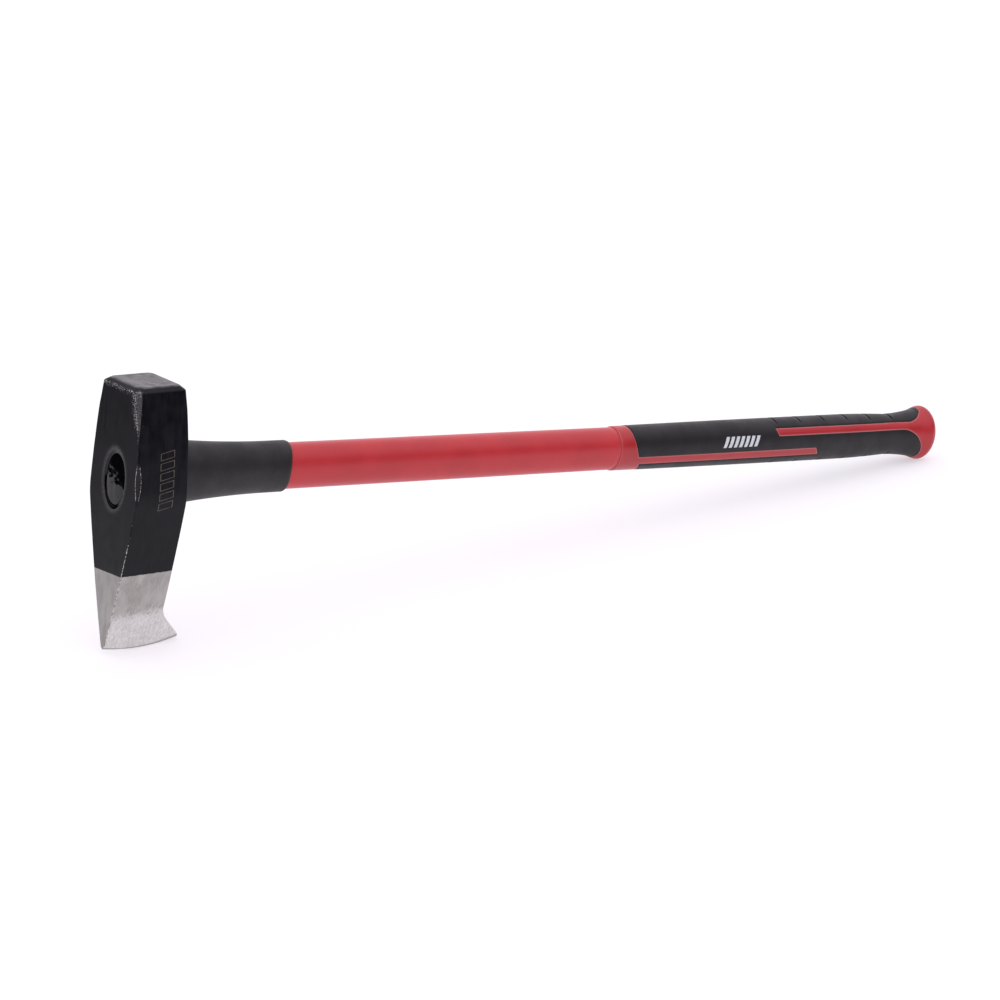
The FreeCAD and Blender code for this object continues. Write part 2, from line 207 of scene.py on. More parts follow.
def half_width(height):
    """Half the head's thickness at a height."""
    height = np.asarray(height, float)
    width = np.zeros_like(height)
    for (w0, z0, radius), (w1, z1, *_) in zip(CHEEK_LINE, CHEEK_LINE[1:]):
        share = (z0 - height) / (z0 - z1)
        chord = math.hypot(w1 - w0, z1 - z0)
        lean = chord / (z0 - z1)
        part = w0 + (w1 - w0) * share + bulge(np.clip(share, 0, 1), chord, radius) * lean
        inside = (share >= 0) & (share <= 1)
        width = np.where(inside, part, width)
    above = height > CHEEK_LINE[0][1]
    return np.where(above, CHEEK_LINE[0][0], width)


def rear_reach(height):
    """How far behind the front face the rear face is, at a height of the rear edge."""
    z = float(height)
    if z > TAPER_HEIGHT:
        share = (z - TAPER_HEIGHT) / (POLL_HEIGHT - TAPER_HEIGHT)
        return HEAD_DEPTH + (POLL_DEPTH - HEAD_DEPTH) * share
    if z > WAIST[1]:
        share = (TAPER_HEIGHT - z) / (TAPER_HEIGHT - WAIST[1])
        return HEAD_DEPTH + (WAIST[0] - HEAD_DEPTH) * share
    tip = (HEEL[0], HEEL[1] + HEEL_LIP)
    for start, end, radius in ((WAIST, BEARD, WAIST_RADIUS), (BEARD, tip, BEARD_RADIUS)):
        if z >= end[1]:
            chord = math.dist(start, end)
            share = (start[1] - z) / (start[1] - end[1])
            lean = chord / (start[1] - end[1])
            return start[0] + (end[0] - start[0]) * share - bulge(share, chord, radius) * lean
    return HEEL[0]


def drop(level, share):
    """Height at a share of the way from front to rear, on a level that bends to the edge."""
    sink = (MORPH_START - level) / (MORPH_START - TOE[1])
    if sink <= 0:
        return np.full_like(share, level)
    front = MORPH_START + sink * (TOE[1] - MORPH_START)
    rear = MORPH_START + sink * (HEEL[1] - MORPH_START)
    sag = bulge(share, math.dist(TOE, HEEL), EDGE_RADIUS)
    return front + (rear - front) * share - sag * sink**2


def corner_cut(level, side):
    """Size and flatness of the vertical front corner: worn facets on a crisp forged edge."""
    size = 0.7 - 0.3 * smooth(-level, 55.0, 80.0)
    if side < 0:
        size += 3.0 * smooth(level, 18.0, 62.0) ** 1.4
        size += 2.2 * math.cos(math.pi / 2 * min(abs(level + 1.5) / 17.0, 1.0)) ** 1.5
    else:
        size += 1.8 * smooth(level, 44.0, 64.0)
    return size, (0.8 if side < 0 else 0.0) * smooth(size, 1.0, 1.9)


def half_ring(level, inset, side):
    """Points of one side of a level, from the middle of the front face to that of the rear."""
    front_cut, flat = corner_cut(level, side)
    rear_cut = 0.8 + 1.6 * smooth(level, 46.0, 64.0) - 0.3 * smooth(-level, 60.0, 90.0)
    sink_rear = float(drop(level, np.array([1.0]))[0])
    reach = rear_reach(sink_rear) - inset
    half_bottom = float(half_width(sink_rear)) - inset
    limit = 0.45 * max(half_bottom, 0.3)
    front_cut = min(front_cut + 0.5 * inset, limit * 2)
    rear_cut = min(rear_cut + 0.5 * inset, limit * 2)
    turn = np.linspace(0, math.pi / 2, CORNER_CELLS + 1)
    straight = np.linspace(0, 1, CORNER_CELLS + 1)
    ease = (1 - flat) * np.sin(turn) + flat * straight
    fall = (1 - flat) * (1 - np.cos(turn)) + flat * straight
    across = 1 - (1 - np.linspace(0, 1, FACE_CELLS + 1)) ** 1.5
    along = np.linspace(0, 1, CHEEK_CELLS + 1)
    cheek = inset + front_cut + (reach - inset - front_cut - rear_cut) * along
    x = np.concatenate([np.full(FACE_CELLS, inset), inset + front_cut * fall[:-1], cheek,
                        reach - rear_cut * (1 - np.sin(turn[1:])), np.full(FACE_CELLS, reach)])
    share = np.clip((x - inset) / max(reach - inset, 1e-6), 0, 1)
    z = drop(level, share)
    width = half_width(z)
    lift = z - drop(TOE[1], share)
    width = np.minimum(width, HONE_HALF + HONE_SLOPE * np.maximum(lift, 0)) - inset
    y = width.copy()
    first = FACE_CELLS
    last = FACE_CELLS + CORNER_CELLS + CHEEK_CELLS + 1 + CORNER_CELLS
    front_edge = np.minimum(front_cut, 0.8 * width[0])
    rear_edge = np.minimum(rear_cut, 0.8 * width[-1])
    y[:first] = (width[0] - front_edge) * across[:-1]
    corner = slice(first, first + CORNER_CELLS)
    y[corner] = width[corner] - front_edge * (1 - ease[:-1])
    corner = slice(last - CORNER_CELLS, last)
    y[corner] = width[corner] - rear_edge * (1 - np.cos(turn[1:]))
    y[last:] = (width[-1] - rear_edge) * across[::-1][1:]
    return np.column_stack([x, side * y, z])


def ring(level, inset):
    """A closed level of the head: near side front to rear, then far side rear to front."""
    near = half_ring(level, inset, -1)
    far = half_ring(level, inset, 1)
    return np.vstack([near, far[1:-1][::-1]])


def head_levels():
    """(height, inset) of every level, from the poll face down to the cutting edge."""
    bevel = rounded([(POLL_HEIGHT, 8.0), (POLL_HEIGHT, POLL_BEVEL),
                     (POLL_HEIGHT - POLL_BEVEL, 0.0), (40.0, 0.0)], BEVEL_ROUND, 4)[1:-1]
    slope = np.linspace(bevel[4], bevel[5], 4)[1:-1]
    levels = [tuple(p) for p in bevel[:5]] + [tuple(p) for p in slope]
    levels += [tuple(p) for p in bevel[5:]]
    upper = np.arange(levels[-1][0] - 0.9, MORPH_START, -1.1)
    lower = np.linspace(MORPH_START, TOE[1] + 1.9, 70)
    edge = np.linspace(TOE[1] + 1.6, TOE[1], 7)
    levels += [(z, 0.0) for z in np.concatenate([upper, lower, edge])]
    return levels


def cap(points, closing):
    """Fill a level: rows from near to far side, between its front and its rear face."""
    half = len(closing) // 2
    front = [closing[i] for i in range(FACE_CELLS, -FACE_CELLS - 1, -1)]
    across = np.array([points.places[i][1] for i in front])
    shares = (across - across[0]) / (across[-1] - across[0])
    rows = [front]
    for i in range(FACE_CELLS + 1, half - FACE_CELLS):
        near, far = closing[i], closing[-i]
        one, two = points.places[near], points.places[far]
        inner = [one + (two - one) * share for share in shares[1:-1]]
        rows.append([near] + points.add(inner) + [far])
    rows.append([closing[half + i] for i in range(-FACE_CELLS, FACE_CELLS + 1)])
    return bands(rows, closed=False)


def oval(size, angles):
    """(y, z) points of an oval given as half width, half height and height of its centre."""
    half, tall, middle = size
    return np.column_stack([half * np.cos(angles), middle + tall * np.sin(angles)])


def eye_size(share):
    """The eye's oval at a share of the way from its front to its rear."""
    return [a + (b - a) * share for a, b in zip(EYE_FRONT, EYE_REAR)]


def eye_ring(station, size, angles):
    """Points round an oval across the handle."""
    return np.column_stack([np.full(len(angles), station), oval(size, angles)])


def window(grid, columns, rows):
    """Vertex numbers round a rectangular window in a grid, once round."""
    left, right = columns
    top, bottom = rows
    path = [grid[top][c] for c in range(left, right)]
    path += [grid[r][right] for r in range(top, bottom)]
    path += [grid[bottom][c] for c in range(right, left, -1)]
    path += [grid[r][left] for r in range(bottom, top, -1)]
    return path


def eye_mouth(points, border, face, mouth, depth):
    """Rings from a window's border in to the rim of the eye, and the rim's own rings."""
    spots = np.array([points.places[i] for i in border])
    half, tall, middle = mouth
    angles = np.arctan2((spots[:, 2] - middle) / tall, spots[:, 1] / half)
    wide = oval(face, angles)
    narrow = oval(mouth, angles)
    rings = [border]
    for step in np.linspace(0, 1, 8)[1:]:
        share = step ** 0.8
        flat = spots[:, 1:] * (1 - share) + wide * share
        rings.append(points.add(np.column_stack([spots[:, 0], flat])))
    for turn in np.linspace(0, math.pi / 2, 9)[1:]:
        line = narrow + (wide - narrow) * (1 - math.sin(turn))
        station = spots[:, 0] + depth * (1 - math.cos(turn))
        rings.append(points.add(np.column_stack([station, line])))
    return rings, angles


def poll_lean(along, across):
    """How much higher the poll stands there than on a square head."""
    return POLL_LIFT + POLL_SLANT * (along - POLL_DEPTH / 2) + POLL_TWIST * across


def forge(places):
    """The poll out of square, and low unevenness that fades out towards the edge."""
    moved = places.copy()
    lean = poll_lean(places[:, 0], places[:, 1])
    moved[:, 2] += lean * smooth(places[:, 2], 52.0, 62.5)
    for i, (x, y, z) in enumerate(places):
        calm = 1 - float(smooth(-z, 60.0, 75.0))
        if calm <= 0:
            continue
        shift = noise.noise(Vector((x, y, z)) / 24.0) * 0.16
        shift += noise.noise(Vector((x + 50, y, z)) / 7.0) * 0.035
        if abs(y) > 15:
            moved[i, 1] += math.copysign(shift * calm, y)
        elif z > POLL_HEIGHT - 0.5:
            moved[i, 2] += shift * 0.8 - 0.1
        elif x < 0.4:
            moved[i, 0] += abs(shift) * 0.6 * calm
    return moved


def edge_wear_and_rim_sheen(places):
    """Two layers: how readily the lacquer chips, and how far it is rubbed grey; round the eye's rim
    that grey is also a painted highlight.
    """
    x, y, z = places.T
    near = y < 0
    gap = half_width(np.clip(z, TOE[1], POLL_HEIGHT)) - np.abs(y)
    near_cut = np.array([corner_cut(level, -1)[0] for level in z])
    front_line = np.hypot(x, gap - near_cut)
    cheek_line = np.hypot(x - near_cut, gap)
    corner = np.hypot(x, gap)
    facet = near & (x > 0.02) & (gap > 0.02) & (x < near_cut) & (gap < near_cut)
    worn_low = smooth(-z, 34.0, 52.0)
    lens = smooth(z, -17.0, -12.0) * (1 - smooth(z, 9.0, 14.0))
    top = smooth(z, 24.0, 40.0)

    def line(distance, width):
        return np.exp(-((distance / width) ** 2))

    layers = [line(corner, 0.7) * (0.62 + 0.38 * worn_low) * (z < 24),
              line(front_line, 0.5) * lens,
              line(cheek_line, 0.4) * 0.9 * lens,
              line(front_line, 0.9) * (0.62 + 0.2 * top) * smooth(z, 8.0, 20.0),
              line(front_line, 9.0) * np.where(x < 0.05, 0.72, 0.5) * top]
    chips = np.where(near, np.max(layers, axis=0), line(corner, 0.9) * (0.5 + 0.3 * top))
    rim = POLL_HEIGHT - POLL_BEVEL
    face = x < 3.0
    bevel = line(z - rim, 0.7) * np.where(face, 0.72, 0.4)
    below = line(np.minimum(z - rim, 0), 6.0) * 0.68 * face * (z < rim + 0.5)
    poll_corner = line(np.hypot(x - POLL_DEPTH, gap), 4.0) * 0.62 * smooth(z, 56.0, 62.0)
    chips = np.max([chips, bevel, below, poll_corner], axis=0)
    half, tall, middle = (np.array(EYE_FRONT_FACE) + EYE_FRONT) / 2
    eye = np.hypot(y / half, (z - middle) / tall)
    # Lighter grey ring round the eye's front rim: rubbed lacquer and a painted highlight together.
    rim_rub = line((eye - 1) * half, 1.3) * (x < 2.5) * 0.8
    rub = np.where(facet, 0.25 * lens + top, 0.0)
    return np.clip(chips, 0, 1), np.clip(np.maximum(rub, rim_rub), 0, 1)


def join_rings(points, one, two):
    """Triangles between two rings round the X axis that don't share their spacing."""
    def angles(indices):
        spots = np.array([points.places[i] for i in indices])
        middle = spots.mean(0)
        return np.arctan2(spots[:, 2] - middle[2], spots[:, 1] - middle[1])

    def ordered(indices):
        turn = angles(indices)
        order = np.argsort(turn)
        return [indices[i] for i in order], turn[order]

    first, first_turn = ordered(one)
    second, second_turn = ordered(two)
    faces = []
    i = j = 0
    while i < len(first) or j < len(second):
        next_first = first_turn[i + 1] if i + 1 < len(first) else first_turn[0] + 2 * math.pi
        next_second = second_turn[j + 1] if j + 1 < len(second) else second_turn[0] + 2 * math.pi
        a, b = first[i % len(first)], second[j % len(second)]
        if j >= len(second) or (i < len(first) and next_first <= next_second):
            faces.append((a, first[(i + 1) % len(first)], b))
            i += 1
        else:
            faces.append((a, second[(j + 1) % len(second)], b))
            j += 1
    return faces


def make_head(material):
    points = Points()
    levels = head_levels()
    rings = [points.add(ring(*level)) for level in levels]
    count = len(rings[0])
    half = count // 2
    front = EYE_CELLS
    heights = np.array([z for z, _ in levels])

    def rows_between(high, low):
        return int(np.argmin(np.abs(heights - high))), int(np.argmin(np.abs(heights - low)))

    def rows_round(eye):
        reach = eye[1] + EYE_CLEARANCE
        return rows_between(eye[2] + reach, eye[2] - reach)

    front_rows, rear_rows = rows_round(EYE_FRONT), rows_round(EYE_REAR)
    front_grid = [[r[c % count] for c in range(-front, front + 1)] for r in rings]
    rear_grid = [[r[half + c] for c in range(-front, front + 1)] for r in rings]

    faces = []
    for j, (one, two) in enumerate(zip(rings, rings[1:])):
        for i in range(count):
            k = (i + 1) % count
            signed = i if i < half else i - count
            if -front <= signed < front and front_rows[0] <= j < front_rows[1]:
                continue
            if half - front <= i < half + front and rear_rows[0] <= j < rear_rows[1]:
                continue
            faces.append((one[i], two[i], two[k], one[k]))
    faces += cap(points, rings[0]) + cap(points, rings[-1])

    border = window(front_grid, (0, 2 * front), front_rows)
    mouth, angles = eye_mouth(points, border, EYE_FRONT_FACE, EYE_FRONT, EYE_FRONT_RIM)
    faces += bands(mouth)
    rear_border = window(rear_grid, (0, 2 * front), rear_rows)
    rear_mouth, _ = eye_mouth(points, rear_border, EYE_REAR_FACE, EYE_REAR, -EYE_REAR_RIM)
    faces += bands(rear_mouth)
    wall = [mouth[-1]]
    for share in np.linspace(0, 1, 12)[1:-1]:
        station = EYE_FRONT_RIM + share * (HEAD_DEPTH - EYE_REAR_RIM - EYE_FRONT_RIM)
        wall.append(points.add(eye_ring(station, eye_size(share), angles)))
    faces += bands(wall)
    faces += join_rings(points, wall[-1], rear_mouth[-1])

    places = np.array(points.places)
    wear, rub = edge_wear_and_rim_sheen(places)
    head = make_piece("maul_head", forge(places), faces, material, "head_steel",
                      wear=wear, rub=rub)
    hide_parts("head")
    return head


# ------------------------------------------------------------------ handle

OVAL = 0.8
HANDLE_START = 43.2
JACKET_RADIUS = 17.4
JACKET_END = 486.0
JACKET_ROUND = 0.5
CORE_RADIUS = 13.2
CORE_END = 848.0
SPIGOT_RADIUS = 15.4
SPIGOT_END = 502.0
GUARD_BORE = JACKET_RADIUS + 0.1
GUARD_BORE_END = 146.0
RESIN_FACE = 1.7
RESIN_END = 37.0
RESIN_BORE_START = 13.0
RESIN_CELLS = 120
TURNED_CELLS = 128
# the guard's outline, as (station, radius, arc radius to the next point, side)
GUARD_LINE = [(HANDLE_START, 24.2, 820.0, 1), (133.0, 19.2, None, 0), (148.8, 19.2, 1.7, -1),
              (150.5, 17.5, None, 0)]
# the grip's outline: collar, palm, neck, flare, rim and end of the knob
GRIP_LINE = [(486.0, 17.7, 0.5, -1), (486.5, 18.2, 40000.0, -1), (764.0, 19.4, 1400.0, -1),
             (822.0, 17.9, 250.0, 1), (860.0, 21.0, 96.0, -1), (870.1, 24.1, 8.0, -1),
             (877.0, 20.1, 40.0, -1), (882.4, 0.0, None, 0)]


def arc(start, end, radius, side, spacing):
    """Points from start to end, end left out, on an arc that bulges right (1) or left (-1)."""
    start = np.array(start, float)
    end = np.array(end, float)
    chord = end - start
    length = np.hypot(*chord)
    share = np.arange(0, 1, 1 / max(2, math.ceil(length / spacing)))[:, None]
    line = start + chord * share
    if radius:
        right = np.array([chord[1], -chord[0]]) / length * side
        half = math.asin(length / 2 / radius)
        turn = half * (2 * share - 1)
        along = 0.5 + np.sin(turn) * radius / length
        out = radius * (np.cos(turn) - math.cos(half))
        line = start + chord * along + right * out
    return line


def outline(stops, spacing):
    """An open outline through the stops, with its arcs."""
    parts = [arc(one[:2], two[:2], one[2], one[3], spacing) for one, two in zip(stops, stops[1:])]
    return np.vstack(parts + [np.array([stops[-1][:2]])])


def oval_ring(station, radius, angles, ratio=OVAL):
    """Points round the handle; angle 0 is the top and a quarter turn the near side."""
    return np.column_stack([np.broadcast_to(station, angles.shape),
                            -ratio * radius * np.sin(angles), radius * np.cos(angles)])


def turned_piece(name, stops, material, slot, spacing, inner, bend=None):
    """An oval sleeve from its outline and the line of its bore."""
    angles = np.linspace(0, 2 * math.pi, TURNED_CELLS, endpoint=False)
    points = Points()
    rings = []
    for station, radius in outline(stops, spacing):
        stations = station + (bend(station, angles) if bend else 0.0 * angles)
        rings.append(points.add(oval_ring(stations, radius, angles)))
    for station, radius in inner:
        rings.append(points.add(oval_ring(station + 0.0 * angles, radius, angles)))
    faces = bands(rings + [rings[0]])
    return make_piece(name, points.places, faces, material, slot)


def guard_bend(station, angles):
    """The guard's rear edge is cut in a shallow curve: longest on top, shortest at the sides."""
    side = np.sin(angles) ** 2
    top = 0.5 + 0.5 * np.cos(angles)
    return (1.2 * top - 1.4 * (1 - top) - 3.2 * side) * smooth(station, 112.0, 146.0)


def make_guard(material):
    guard = turned_piece("rubber_guard", GUARD_LINE, material, "guard_rubber", 1.6,
                         [(GUARD_BORE_END, GUARD_BORE), (HANDLE_START, GUARD_BORE)], guard_bend)
    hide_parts("overstrike_guard")


def make_jacket(material):
    stops = [(HANDLE_START, JACKET_RADIUS, None, 0),
             (JACKET_END - JACKET_ROUND, JACKET_RADIUS, JACKET_ROUND, -1),
             (JACKET_END, JACKET_RADIUS - JACKET_ROUND, None, 0)]
    inner = [(JACKET_END, SPIGOT_RADIUS), (SPIGOT_END, SPIGOT_RADIUS),
             (SPIGOT_END, CORE_RADIUS), (HANDLE_START, CORE_RADIUS)]
    jacket = turned_piece("red_jacket", stops, material, "red_sleeve", 6.0, inner)
    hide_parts("jacket")


def resin_swell(across, up):
    """How far the poured face stands out: a low dome with runs, and a meniscus at the rim."""
    reach = np.hypot(across, up)
    dome = 0.75 * (1 - reach**2)
    low = np.clip(-up / reach, 0, 1)
    meniscus = 0.8 * smooth(reach, 0.93 - 0.1 * low, 1.0)
    runs = np.array([noise.noise(Vector((1.5 * a + 7.3, 2.3 * u, 4.0)))
                     + 0.25 * noise.noise(Vector((3.6 * a, 5.6 * u + 2.0, 9.0)))
                     for a, u in zip(across, up)])
    return dome + meniscus + 0.2 * runs * (1 - smooth(reach, 0.8, 0.98))


def make_resin(material):
    """Poured resin that fills the eye round the core, with its uneven glossy face."""
    half, tall, middle = EYE_FRONT
    angles = np.linspace(0, 2 * math.pi, RESIN_CELLS, endpoint=False)
    points = Points()
    rings = []
    for reach in np.linspace(0.0, 1.0, 42)[1:][::-1]:
        across, up = reach * np.cos(angles), reach * np.sin(angles)
        face = RESIN_FACE - resin_swell(across, up)
        edge = 1.004 - 0.02 * RESIN_FACE / HEAD_DEPTH
        rings.append(points.add(np.column_stack(
            [face, half * edge * across, middle + tall * edge * up])))
    size = eye_size(RESIN_END / HEAD_DEPTH)
    core = (CORE_RADIUS * OVAL, CORE_RADIUS, 0)
    wall = [points.add(eye_ring(station, ring, angles)) for station, ring in
            ((RESIN_END, size), (RESIN_END, core), (RESIN_BORE_START, core))]
    faces = bands(wall[::-1] + rings)
    tips = [(rings[-1], (RESIN_FACE - 0.9, 0.0, middle)), (wall[-1], (RESIN_BORE_START, 0.0, 0.0))]
    for ring, place in tips:
        tip = points.add([place])[0]
        faces += [(ring[i - 1], ring[i], tip) for i in range(len(ring))]
    resin = make_piece("cast_resin", points.places, faces, material, "resin")
    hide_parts("eye_resin")


# ------------------------------------------------------------------ grip

# soft panels, seen from the side
PANEL_FRONT = [(500.5, 18.2), (506.8, -6.0), (510.4, -12.3), (514.5, -18.2)]
PANEL_FRONT_ARC = 62.0
STRIPE = (6.0, 12.3)
UPPER_SLANT = 3.0
LOWER_SLANT = 5.3
LOWER_STRIPE_END = 726.3
UPPER_STRIPE_START = 670.0
UPPER_LOBE = (846.0, 865.0, 22.9, 34.0)
LOWER_LOBE = (837.0, 863.4, -18.5, 29.0)
PANEL_DEPTH = 1.5
PANEL_CROWN = 0.12
# grooves
GROOVE_START = 674.0
GROOVE_PITCH = 30.2
GROOVE_COUNT = 6
GROOVE_HALF = 0.65
GROOVE_DEPTH = 1.0
GROOVE_RAMP = (3.6, 0.3)
GROOVE_SPAN = 8.6
# mesh
GIRTH = 17.0
CELL = 1.1
BORDER_CELL = 0.55
SEAM_WIDTH = 1e-4


class Skin:
    """The grip's outer surface, unrolled: along its outline, and round it from top to bottom."""

    def __init__(self):
        line = outline(GRIP_LINE, 0.5)
        self.station = line[:, 0]
        self.radius = line[:, 1]
        steps = np.hypot(np.diff(self.station), np.diff(self.radius))
        self.along = np.concatenate([[0.0], np.cumsum(steps)])
        self.length = self.along[-1]
        self.width = math.pi * GIRTH

    def flat(self, x, z):
        """Unrolled place of a point given by its station and height."""
        radius = np.interp(x, self.station, self.radius)
        turn = np.arccos(np.clip(z / radius, -1, 1))
        return np.column_stack([np.interp(x, self.station, self.along), turn * GIRTH])

    def side_view(self, flat):
        """Station, half thickness there and height of unrolled points."""
        x = np.interp(flat[:, 0], self.along, self.station)
        radius = np.interp(flat[:, 0], self.along, self.radius)
        turn = flat[:, 1] / GIRTH
        return x, OVAL * radius * np.sin(turn), radius * np.cos(turn)

    def on_seam(self, flat):
        """Which unrolled points lie on the middle plane, at the top or at the bottom."""
        return (flat[:, 1] < SEAM_WIDTH) | (flat[:, 1] > self.width - SEAM_WIDTH)

    def raised(self, flat, relief, side):
        """Unrolled points on one side of the grip, moved out by relief."""
        x = np.interp(flat[:, 0], self.along, self.station)
        radius = np.interp(flat[:, 0], self.along, self.radius) + relief
        turn = flat[:, 1] / GIRTH
        return np.column_stack([x, side * OVAL * radius * np.sin(turn), radius * np.cos(turn)])


def resample(path, spacing):
    """The same open path with evenly spaced points, its corners kept."""
    result = [path[:1]]
    for one, two in zip(path, path[1:]):
        count = max(1, round(float(np.hypot(*(two - one))) / spacing))
        result.append(one + (two - one) * (np.arange(1, count + 1) / count)[:, None])
    return np.vstack(result)


def panel_paths(skin):
    """Unrolled borders of the soft panels: at the collar, and at the knob."""
    top, inner, outer, bottom = PANEL_FRONT
    near, far = STRIPE
    collar = [(top[0], 40.0, None, 0), (*top, PANEL_FRONT_ARC, 1), (*inner, None, 0),
              (LOWER_STRIPE_END - LOWER_SLANT, -near, None, 0),
              (LOWER_STRIPE_END, -far, None, 0), (*outer, PANEL_FRONT_ARC, 1),
              (*bottom, None, 0), (bottom[0], -40.0, None, 0)]
    low_start, low_end, low_height, low_arc = LOWER_LOBE
    high_start, high_end, high_height, high_arc = UPPER_LOBE
    knob = [(low_end, -40.0, None, 0), (low_end, low_height, low_arc, 1),
            (low_start, near, None, 0), (UPPER_STRIPE_START + UPPER_SLANT, near, None, 0),
            (UPPER_STRIPE_START, far, None, 0), (high_start, far, high_arc, 1),
            (high_end, high_height, None, 0), (high_end, 40.0, None, 0)]
    paths = []
    for stops in (collar, knob):
        line = outline(stops, 0.5)
        radius = np.interp(line[:, 0], skin.station, skin.radius)
        inside = np.abs(line[:, 1]) < radius
        first = int(np.argmax(inside))
        last = len(inside) - int(np.argmax(inside[::-1]))
        line = line[first - 1:last + 1]
        flat = skin.flat(line[:, 0], line[:, 1])
        corners = [0] + [i for i in range(1, len(flat) - 1) if bends(flat, i)] + [len(flat) - 1]
        paths.append(resample(flat[corners], BORDER_CELL))
    return paths


def bends(line, i):
    """Whether a line turns at its point i, or has gone far enough to keep a point."""
    one = line[i] - line[i - 1]
    two = line[i + 1] - line[i]
    turn = abs(one[0] * two[1] - one[1] * two[0])
    return turn > 1e-4 * float(np.hypot(*one) * np.hypot(*two))


def groove_places(flat, skin):
    """For unrolled points: distance behind the nearest groove's line, and how deep it is."""
    x, y, _ = skin.side_view(flat)
    number = np.clip(np.round((x - GROOVE_START) / GROOVE_PITCH), 0, GROOVE_COUNT - 1)
    behind = x - GROOVE_START - number * GROOVE_PITCH
    return behind, 1 - smooth(np.abs(y), GROOVE_SPAN - 2.2, GROOVE_SPAN + 1.4)


def groove_relief(flat, skin):
    """Short slots across the top and bottom, each with a shallow ramp on the head's side."""
    behind, share = groove_places(flat, skin)
    slot = 1 - smooth(np.abs(behind), GROOVE_HALF - 0.2, GROOVE_HALF + 0.05)
    reach, depth = GROOVE_RAMP
    ramp = np.clip(1 + (behind + GROOVE_HALF) / reach, 0, 1) * (behind < GROOVE_HALF)
    return -share * np.maximum(GROOVE_DEPTH * slot, depth * ramp**1.5)


def groove_lines(skin):
    """Unrolled points along each groove, closest together at its walls."""
    lines = []
    turns = np.linspace(0, 0.66, 18)
    walls = (-GROOVE_HALF - 0.05, -GROOVE_HALF + 0.2, GROOVE_HALF - 0.2, GROOVE_HALF + 0.05)
    for number in range(GROOVE_COUNT):
        for behind in (-4.2, -3.0, -1.8, -1.1, *walls, 0.0, 1.1):
            for base, sign in ((0.0, 1.0), (math.pi, -1.0)):
                turn = base + sign * turns
                x = GROOVE_START + number * GROOVE_PITCH + behind
                along = np.interp(x, skin.station, skin.along)
                lines.append(np.column_stack([np.full(len(turn), along), turn * GIRTH]))
    return lines


def inside(points, polygon):
    """Which points are in a polygon, by counting crossings."""
    found = np.zeros(len(points), bool)
    x, y = points.T
    for (x0, y0), (x1, y1) in zip(polygon, np.roll(polygon, -1, axis=0)):
        if y0 == y1:
            continue
        crosses = (y0 > y) != (y1 > y)
        found ^= crosses & (x < (x1 - x0) * (y - y0) / (y1 - y0) + x0)
    return found


def border_distance(points, paths):
    """Distance from each point to the nearest stretch of the paths."""
    nearest = np.full(len(points), 1e9)
    for path in paths:
        for one, two in zip(path, path[1:]):
            step = two - one
            share = np.clip(((points - one) @ step) / (step @ step), 0, 1)
            gap = points - one - share[:, None] * step
            nearest = np.minimum(nearest, np.hypot(*gap.T))
    return nearest


def unrolled_mesh(skin, paths):
    """Triangles over half of the unrolled grip, with the panels' borders as edges."""
    fixed = []
    edges = []
    for path in paths:
        start = len(fixed)
        fixed.extend(path.tolist())
        edges += [(start + i, start + i + 1) for i in range(len(path) - 1)]
    rows = round(skin.length / CELL)
    columns = round(skin.width / CELL)
    along = np.linspace(0, skin.length, rows + 1)
    ends = [paths[0][0], paths[0][-1], paths[1][0], paths[1][-1]]
    for edge in (0.0, skin.width):
        taken = [e[0] for e in ends if abs(e[1] - edge) < 1e-6]
        fixed += [[a, edge] for a in along if all(abs(a - t) > 0.3 for t in taken)]
    for edge in (0.0, skin.length):
        fixed += [[edge, r] for r in np.linspace(0, skin.width, columns + 1)[1:-1]]
    loose = []
    for path in paths:
        step = np.gradient(path, axis=0)
        step /= np.hypot(*step.T)[:, None]
        normal = np.column_stack([-step[:, 1], step[:, 0]])
        for offset in (0.28, 0.6):
            for sign in (-1, 1):
                line = path + normal * offset * sign
                gap = border_distance(line, paths)
                loose.append(line[gap > 0.9 * offset])
    near_edge = np.vstack(loose)
    grooves = np.vstack(groove_lines(skin))
    grid_along, grid_round = np.meshgrid(along[1:-1], np.linspace(0, skin.width, columns + 1)[1:-1])
    grid_along[::2] += CELL / 2
    grid = np.column_stack([grid_along.ravel(), grid_round.ravel()])
    grid = grid[grid[:, 0] < skin.length - 0.4]
    kept = np.array(fixed)
    for group, clear in ((near_edge, 0.2), (grooves, 0.2), (grid, 0.62)):
        inner = (group[:, 1] > 0.3) & (group[:, 1] < skin.width - 0.3)
        group = group[inner & (group[:, 0] > 0.3) & (group[:, 0] < skin.length - 0.3)]
        tree = kdtree.KDTree(len(kept))
        for i, (a, r) in enumerate(kept):
            tree.insert((a, r, 0), i)
        tree.balance()
        free = [tree.find((a, r, 0))[2] > clear for a, r in group]
        kept = np.vstack([kept, group[free]])
    made = geometry.delaunay_2d_cdt([Vector(p) for p in kept.tolist()], edges, [], 0, 1e-6)
    return np.array([tuple(v) for v in made[0]]), [tuple(f) for f in made[2]]


def two_sides(skin, flat, relief, triangles):
    """A patch on the near side and its mirror image, sharing the points on the middle plane."""
    used = sorted({i for t in triangles for i in t})
    order = {i: k for k, i in enumerate(used)}
    spots = flat[used]
    depth = relief[used]
    seam = skin.on_seam(spots)
    near = skin.raised(spots, depth, -1)
    far = skin.raised(spots, depth, 1)
    numbers = np.arange(len(used))
    mirrored = numbers.copy()
    mirrored[~seam] = len(used) + np.arange(int((~seam).sum()))
    places = np.vstack([near, far[~seam]])
    faces = [(order[c], order[b], order[a]) for a, b, c in triangles]
    faces += [(mirrored[order[a]], mirrored[order[b]], mirrored[order[c]])
              for a, b, c in triangles]
    return places, faces


def open_edges(faces):
    """Edges with a face on one side only, in the direction in which that face runs."""
    seen = {}
    for face in faces:
        for a, b in zip(face, face[1:] + face[:1]):
            seen[(a, b)] = True
    return [(a, b) for a, b in seen if (b, a) not in seen]


